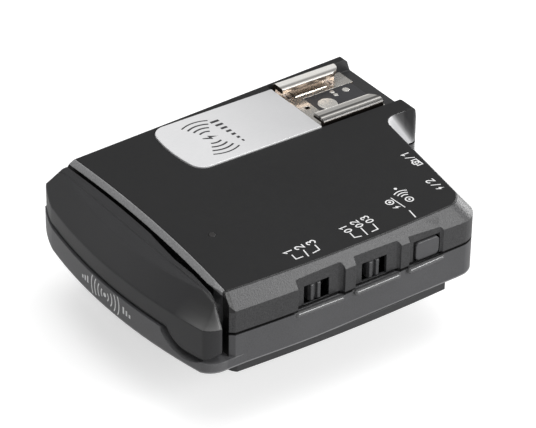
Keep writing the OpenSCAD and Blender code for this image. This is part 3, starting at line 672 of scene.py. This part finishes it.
def refine(name, piece, width):
    """Weld, flatten and bevel a CAD piece, then shade it smooth."""
    weld = piece.modifiers.new("join", "WELD")
    weld.merge_threshold = 2e-6
    if name not in ("shoe_rails", "battery_door"):
        flat = piece.modifiers.new("flat", "DECIMATE")
        flat.decimate_type = "DISSOLVE"
        flat.angle_limit = math.radians(0.4)
    if name != "shoe_rails":
        bevel = piece.modifiers.new("edges", "BEVEL")
        bevel.width = width * MM
        bevel.segments = 3
        bevel.limit_method = "ANGLE"
        bevel.angle_limit = math.radians(24)
        bevel.use_clamp_overlap = True
        bevel.harden_normals = False
        bevel.miter_outer = "MITER_ARC"
    piece.modifiers.new("smooth", "NODES").node_group = SMOOTH
    shade = piece.modifiers.new("shade", "WEIGHTED_NORMAL")
    shade.keep_sharp = True
    shade.weight = 60


for name, piece in nodes.items():
    look, width = PIECES[name]
    for slot in piece.material_slots:
        slot.material = LOOKS[look]
    if not piece.material_slots:
        piece.data.materials.append(LOOKS[look])
    if width:
        refine(name, piece, width)

# ---------------------------------------------------------------- printed marks
INK_BOTTOM, INK_TOP = 0.003, 0.022      # mm above the printed surface

# numerals, 1 wide and 1.7 high: (points as (across, up), closed)
DIGITS = {
    "0": ([(0.5 + 0.46 * math.cos(math.radians(20 * i)), 0.85 + 0.81 * math.sin(math.radians(20 * i)))
           for i in range(18)], True),
    "1": ([(0.12, 1.28), (0.58, 1.7), (0.58, 0)], False),
    "2": ([(0.02, 1.28), (0.16, 1.57), (0.48, 1.7), (0.8, 1.58), (0.93, 1.28), (0.8, 0.94),
           (0.04, 0.0), (1.0, 0.0)], False),
    "3": ([(0.02, 1.44), (0.24, 1.66), (0.56, 1.7), (0.86, 1.52), (0.86, 1.14), (0.56, 0.92),
           (0.9, 0.7), (0.97, 0.34), (0.72, 0.04), (0.34, 0.0), (0.0, 0.24)], False),
}
# outline of the lightning bolt, (across, up)
BOLT = [(0.62, 1.75), (0.05, 0.78), (0.45, 0.78), (0.30, 0.0), (0.95, 1.02), (0.52, 1.02),
        (0.80, 1.75)]


def heading(a, b):
    return Vector((b[0] - a[0], b[1] - a[1])).normalized()


def ribbon_sides(points, width, closed):
    """Left and right points of a flat ribbon with mitred joints and slightly longer ends."""
    last = len(points) - 1
    sides = []
    for i, point in enumerate(points):
        headings = []
        if closed or i > 0:
            headings.append(heading(points[i - 1], point))
        if closed or i < last:
            headings.append(heading(point, points[(i + 1) % len(points)]))
        tangent = sum(headings, Vector((0, 0)))
        tangent = headings[0] if tangent.length < 1e-6 else tangent.normalized()
        across = Vector((-tangent.y, tangent.x))
        cosine = abs(across.dot(Vector((-headings[0].y, headings[0].x))))
        half = width / 2 / max(cosine, 0.55)
        middle = Vector(point)
        if not closed and i == 0:
            middle = middle - tangent * width * 0.3
        if not closed and i == last:
            middle = middle + tangent * width * 0.3
        sides.append((middle + across * half, middle - across * half))
    return sides


def circle(x, y, radius, count):
    turns = [2 * math.pi * i / count for i in range(count)]
    return [(x + radius * math.cos(turn), y + radius * math.sin(turn)) for turn in turns]


class Marks:
    """One printed group on a surface; put(x, y, height) places its points."""

    def __init__(self, name, look, slot, put):
        self.name, self.look, self.slot, self.put = name, look, slot, put
        self.mesh = bmesh.new()

    def vertex(self, x, y, height):
        return self.mesh.verts.new(self.put(x, y, height))

    def line(self, points, width, closed=False):
        rings = []
        for left, right in ribbon_sides(points, width, closed):
            rings.append([self.vertex(*left, INK_BOTTOM), self.vertex(*right, INK_BOTTOM),
                          self.vertex(*right, INK_TOP), self.vertex(*left, INK_TOP)])
        for i in range(len(rings) if closed else len(rings) - 1):
            a, b = rings[i], rings[(i + 1) % len(rings)]
            for j in range(4):
                self.mesh.faces.new((a[j], a[(j + 1) % 4], b[(j + 1) % 4], b[j]))
        if not closed:
            self.mesh.faces.new(rings[0][::-1])
            self.mesh.faces.new(rings[-1])

    def lines(self, paths, width):
        for points in paths:
            self.line(points, width)

    def fill(self, points):
        bottom = [self.vertex(x, y, INK_BOTTOM) for x, y in points]
        top = [self.vertex(x, y, INK_TOP) for x, y in points]
        self.mesh.faces.new(bottom[::-1])
        self.mesh.faces.new(top)
        for i in range(len(points)):
            j = (i + 1) % len(points)
            self.mesh.faces.new((bottom[i], bottom[j], top[j], top[i]))

    def ring(self, x, y, radius, width, count=20):
        self.line(circle(x, y, radius, count), width, closed=True)

    def dot(self, x, y, radius):
        self.fill(circle(x, y, radius, count=14))

    def arc(self, x, y, radius, start, end, width, steps):
        """An arc between two angles in degrees."""
        turns = [math.radians(start + (end - start) * i / steps) for i in range(steps + 1)]
        self.line([(x + radius * math.cos(turn), y + radius * math.sin(turn))
                   for turn in turns], width)

    # numerals and bolts are centred on (x, y), read along +y and point their tops to -x
    def digit(self, character, x, y, size, width):
        points, closed = DIGITS[character]
        self.line([(x - (up - 0.85) * size, y + (across - 0.5) * size)
                   for across, up in points], width, closed)

    def bolt(self, x, y, size):
        self.fill([(x - (up - 0.87) * size, y + (across - 0.5) * size) for across, up in BOLT])

    def finish(self):
        bmesh.ops.recalc_face_normals(self.mesh, faces=self.mesh.faces)
        data = bpy.data.meshes.new(self.name)
        self.mesh.to_mesh(data)
        self.mesh.free()
        data.materials.append(LOOKS[self.look])
        marks = bpy.data.objects.new(self.name, data)
        bpy.context.scene.collection.objects.link(marks)
        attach(marks, "case")


def on_deck(x, y, height):
    return P(x, y, DECK_Z + height)


def on_plate(x, y, height):
    return P(x, y, PLATE_Z + height)


def on_ledge(s, z, height):
    """s runs along the ledge's bowed outer wall from its middle, z is up."""
    radius = LEDGE_RADIUS + height
    turn = s / LEDGE_RADIUS
    return P(LEDGE_CENTRE[0] - radius * math.cos(turn),
             LEDGE_CENTRE[1] + radius * math.sin(turn), z)


LEADER_WIDTH = 0.29     # lines from the marks towards the switches


def channel_marks():
    marks = Marks("channel_marks", "ink", "label_film", on_deck)
    for character, x, y in (("1", 19.6, 7.7), ("2", 22.7, 7.75), ("3", 25.9, 7.9)):
        marks.digit(character, x, y, size=1.22, width=0.33)
    marks.lines((
        [(19.65, 6.15), (19.46, 4.38), (21.29, 4.33)],
        [(22.87, 6.34), (22.4, 3.81)],
        [(26.11, 6.54), (25.88, 4.54), (23.9, 4.22)]), LEADER_WIDTH)
    marks.finish()


def mode_marks():
    marks = Marks("mode_marks", "ink", "label_film", on_deck)
    for number, x, y in (("01", 35.5, 7.1), ("02", 38.8, 7.4), ("03", 41.8, 7.6)):
        for i, character in enumerate(number):
            marks.digit(character, x - 0.2 * i, y + 1.6 * i, size=1.08, width=0.3)
    marks.lines((
        [(35.31, 6.1), (35.06, 4.09), (36.69, 3.71)],
        [(38.52, 6.36), (38.15, 3.45)],
        [(41.69, 6.17), (41.39, 3.93), (39.69, 3.86)]), LEADER_WIDTH)
    marks.finish()


def button_marks():
    """A bolt over a ringed dot, and a ringed dot that sends out waves."""
    marks = Marks("button_marks", "ink", "label_film", on_deck)
    marks.line([(51.75, 6.02), (51.24, 3.16)], LEADER_WIDTH)
    marks.bolt(50.3, 8.7, size=1.15)
    marks.ring(50.1, 11.2, radius=0.9, width=0.3)
    marks.dot(50.1, 11.2, radius=0.36)
    marks.line([(51.75, 7.7), (51.45, 12.5)], width=0.24)
    marks.ring(54.6, 9.8, radius=0.9, width=0.3)
    marks.dot(54.6, 9.8, radius=0.3)
    for radius, start, steps in ((1.3, 48, 6), (2.2, 52, 8), (3.1, 56, 9)):
        marks.arc(54.6, 10.6, radius, start, 180 - start, width=0.3, steps=steps)
    marks.dot(54.6, 15.0, radius=0.4)
    marks.finish()


def socket_marks():
    """A small camera and a one, a bolt and a two."""
    marks = Marks("socket_marks", "ink", "label_film", on_deck)
    x, y = 65.4, 21.3
    camera = ((0.85, -1.25), (-0.5, -1.25), (-0.5, -0.6), (-0.95, -0.42), (-0.95, 0.42),
              (-0.5, 0.6), (-0.5, 1.25), (0.85, 1.25))
    marks.line([(x + dx, y + dy) for dx, dy in camera], width=0.3, closed=True)
    marks.ring(x + 0.14, y, radius=0.45, width=0.26, count=14)
    marks.line([(x + 1.0, 23.3), (x - 1.0, 24.2)], width=0.26)
    marks.digit("1", x, 25.6, size=1.15, width=0.32)
    marks.bolt(63.2, 9.6, size=1.2)
    marks.line([(64.2, 10.8), (62.2, 11.7)], width=0.26)
    marks.digit("2", 63.1, 13.2, size=1.15, width=0.32)
    marks.finish()


def plate_symbol():
    """Waves to both sides of a bolt, and a row of level bars."""
    marks = Marks("plate_symbol", "inkdark", "satin_plate", on_plate)
    x, y = 32.2, 56.4
    marks.bolt(x, y, size=2.1)
    for radius in (2.7, 4.3, 5.9, 7.5):
        for middle in (90, 270):
            marks.arc(x, y, radius, middle - 28, middle + 28,
                      width=0.5 if radius < 7 else 0.4, steps=12)
    foot = 38.1
    for i in range(7):
        y = 51.2 + i * 1.75
        tip = foot - (0.5 + 0.3 * i)
        marks.fill([(foot, y - 0.4), (foot, y + 0.4), (tip, y + 0.4), (tip, y - 0.4)])
    marks.finish()


def ledge_symbol():
    """A dot with waves to both sides, then three falling bars on each side."""
    marks = Marks("ledge_symbol", "ink", "case_plastic", on_ledge)
    z = 3.1
    for middle in (180, 0):
        for i, radius in enumerate((1.5, 2.9, 4.3, 5.7)):
            half = 38 - 4.5 * i
            marks.arc(0, z, radius, middle - half, middle + half, width=0.34, steps=8)
    marks.dot(0, z, radius=0.55)
    for side in (-1, 1):
        for i in range(3):
            s = side * (7.4 + 1.15 * i)
            top = 4.0 - 0.45 * i
            marks.fill([(s - 0.28, 2.2), (s + 0.28, 2.2), (s + 0.28, top), (s - 0.28, top)])
    marks.finish()


channel_marks()
mode_marks()
button_marks()
socket_marks()
plate_symbol()
ledge_symbol()


# ---------------------------------------------------------------- stage
def stage_floor(z, half=3.0):
    mesh = bmesh.new()
    corners = ((-half, -half, z), (half, -half, z), (half, half, z), (-half, half, z))
    mesh.faces.new([mesh.verts.new(corner) for corner in corners])
    data = bpy.data.meshes.new("floor")
    mesh.to_mesh(data)
    mesh.free()
    floor = bpy.data.objects.new("floor", data)
    bpy.context.scene.collection.objects.link(floor)

    # paler and glowing to the camera, plain grey to the light it bounces
    k = Look("floor_look")
    seen = k.node("ShaderNodeLightPath").outputs["Is Camera Ray"]
    pale = k.mix(k.noise(scale=18, roughness=0.5), grey(0.60), grey(0.62))
    k.colour = k.mix(seen, grey(0.56), pale)
    data.materials.append(k.finish(
        Roughness=0.75, Specular_IOR_Level=0.1, Emission_Color=grey(1.0),
        Emission_Strength=k.times(seen, 0.56)))


def studio_world():
    world = bpy.data.worlds.new("studio")
    bpy.context.scene.world = world
    world.use_nodes = True
    tree = world.node_tree
    tree.nodes.clear()
    output = tree.nodes.new("ShaderNodeOutputWorld")
    background = tree.nodes.new("ShaderNodeBackground")
    background.inputs["Color"].default_value = (1, 1, 1, 1)
    background.inputs["Strength"].default_value = 0.32
    tree.links.new(background.outputs[0], output.inputs[0])


AIM = Vector((-0.031, -0.022, 0.022))       # where the large lights point


def area(name, location, size, power, size_y=None, target=AIM):
    data = bpy.data.lights.new(name, "AREA")
    data.energy = power
    data.shape = "RECTANGLE"
    data.size = size
    data.size_y = size_y or size
    light = bpy.data.objects.new(name, data)
    bpy.context.scene.collection.objects.link(light)
    light.location = location
    light.rotation_mode = "QUATERNION"
    light.rotation_quaternion = (Vector(target) - Vector(location)).to_track_quat("-Z", "Y")


def add_camera():
    data = bpy.data.cameras.new("camera")
    camera = bpy.data.objects.new("camera", data)
    bpy.context.scene.collection.objects.link(camera)
    data.sensor_width = 36.0
    data.lens = 195.59
    data.clip_start = 0.05
    data.clip_end = 20.0
    right = (0.8187198707, -0.5740778591, 0.0115058664)
    up = (0.3042845920, 0.4507738236, 0.8391745033)
    back = (-0.4869380457, -0.6835477830, 0.5437405337)
    location = (-0.35755965, -0.47810766, 0.38733648)
    rows = zip(right, up, back, location)
    camera.matrix_world = Matrix((*rows, (0, 0, 0, 1)))
    bpy.context.scene.camera = camera


stage_floor(cad_box[0].z - 0.0001)
studio_world()
area("top_soft", (0.0, -0.05, 1.1), size=1.1, power=9.5)
area("key_soft", AIM + Vector((0.55, -0.86, 0.46)), size=0.45, power=8.0)
area("right_card", AIM + Vector((1.0, 0.12, 0.10)), size=0.5, power=5.0, size_y=0.3)
area("left_card", AIM + Vector((-0.62, 0.72, 0.5)), size=0.5, power=0.7)
# small light that shines straight up
area("fillet_card", (0.056, 0.004, 0.0), size=0.05, power=0.016, target=(0.056, 0.004, 1.0))
add_camera()
bpy.context.scene.view_settings.view_transform = "Standard"
bpy.context.scene.view_settings.look = "None"
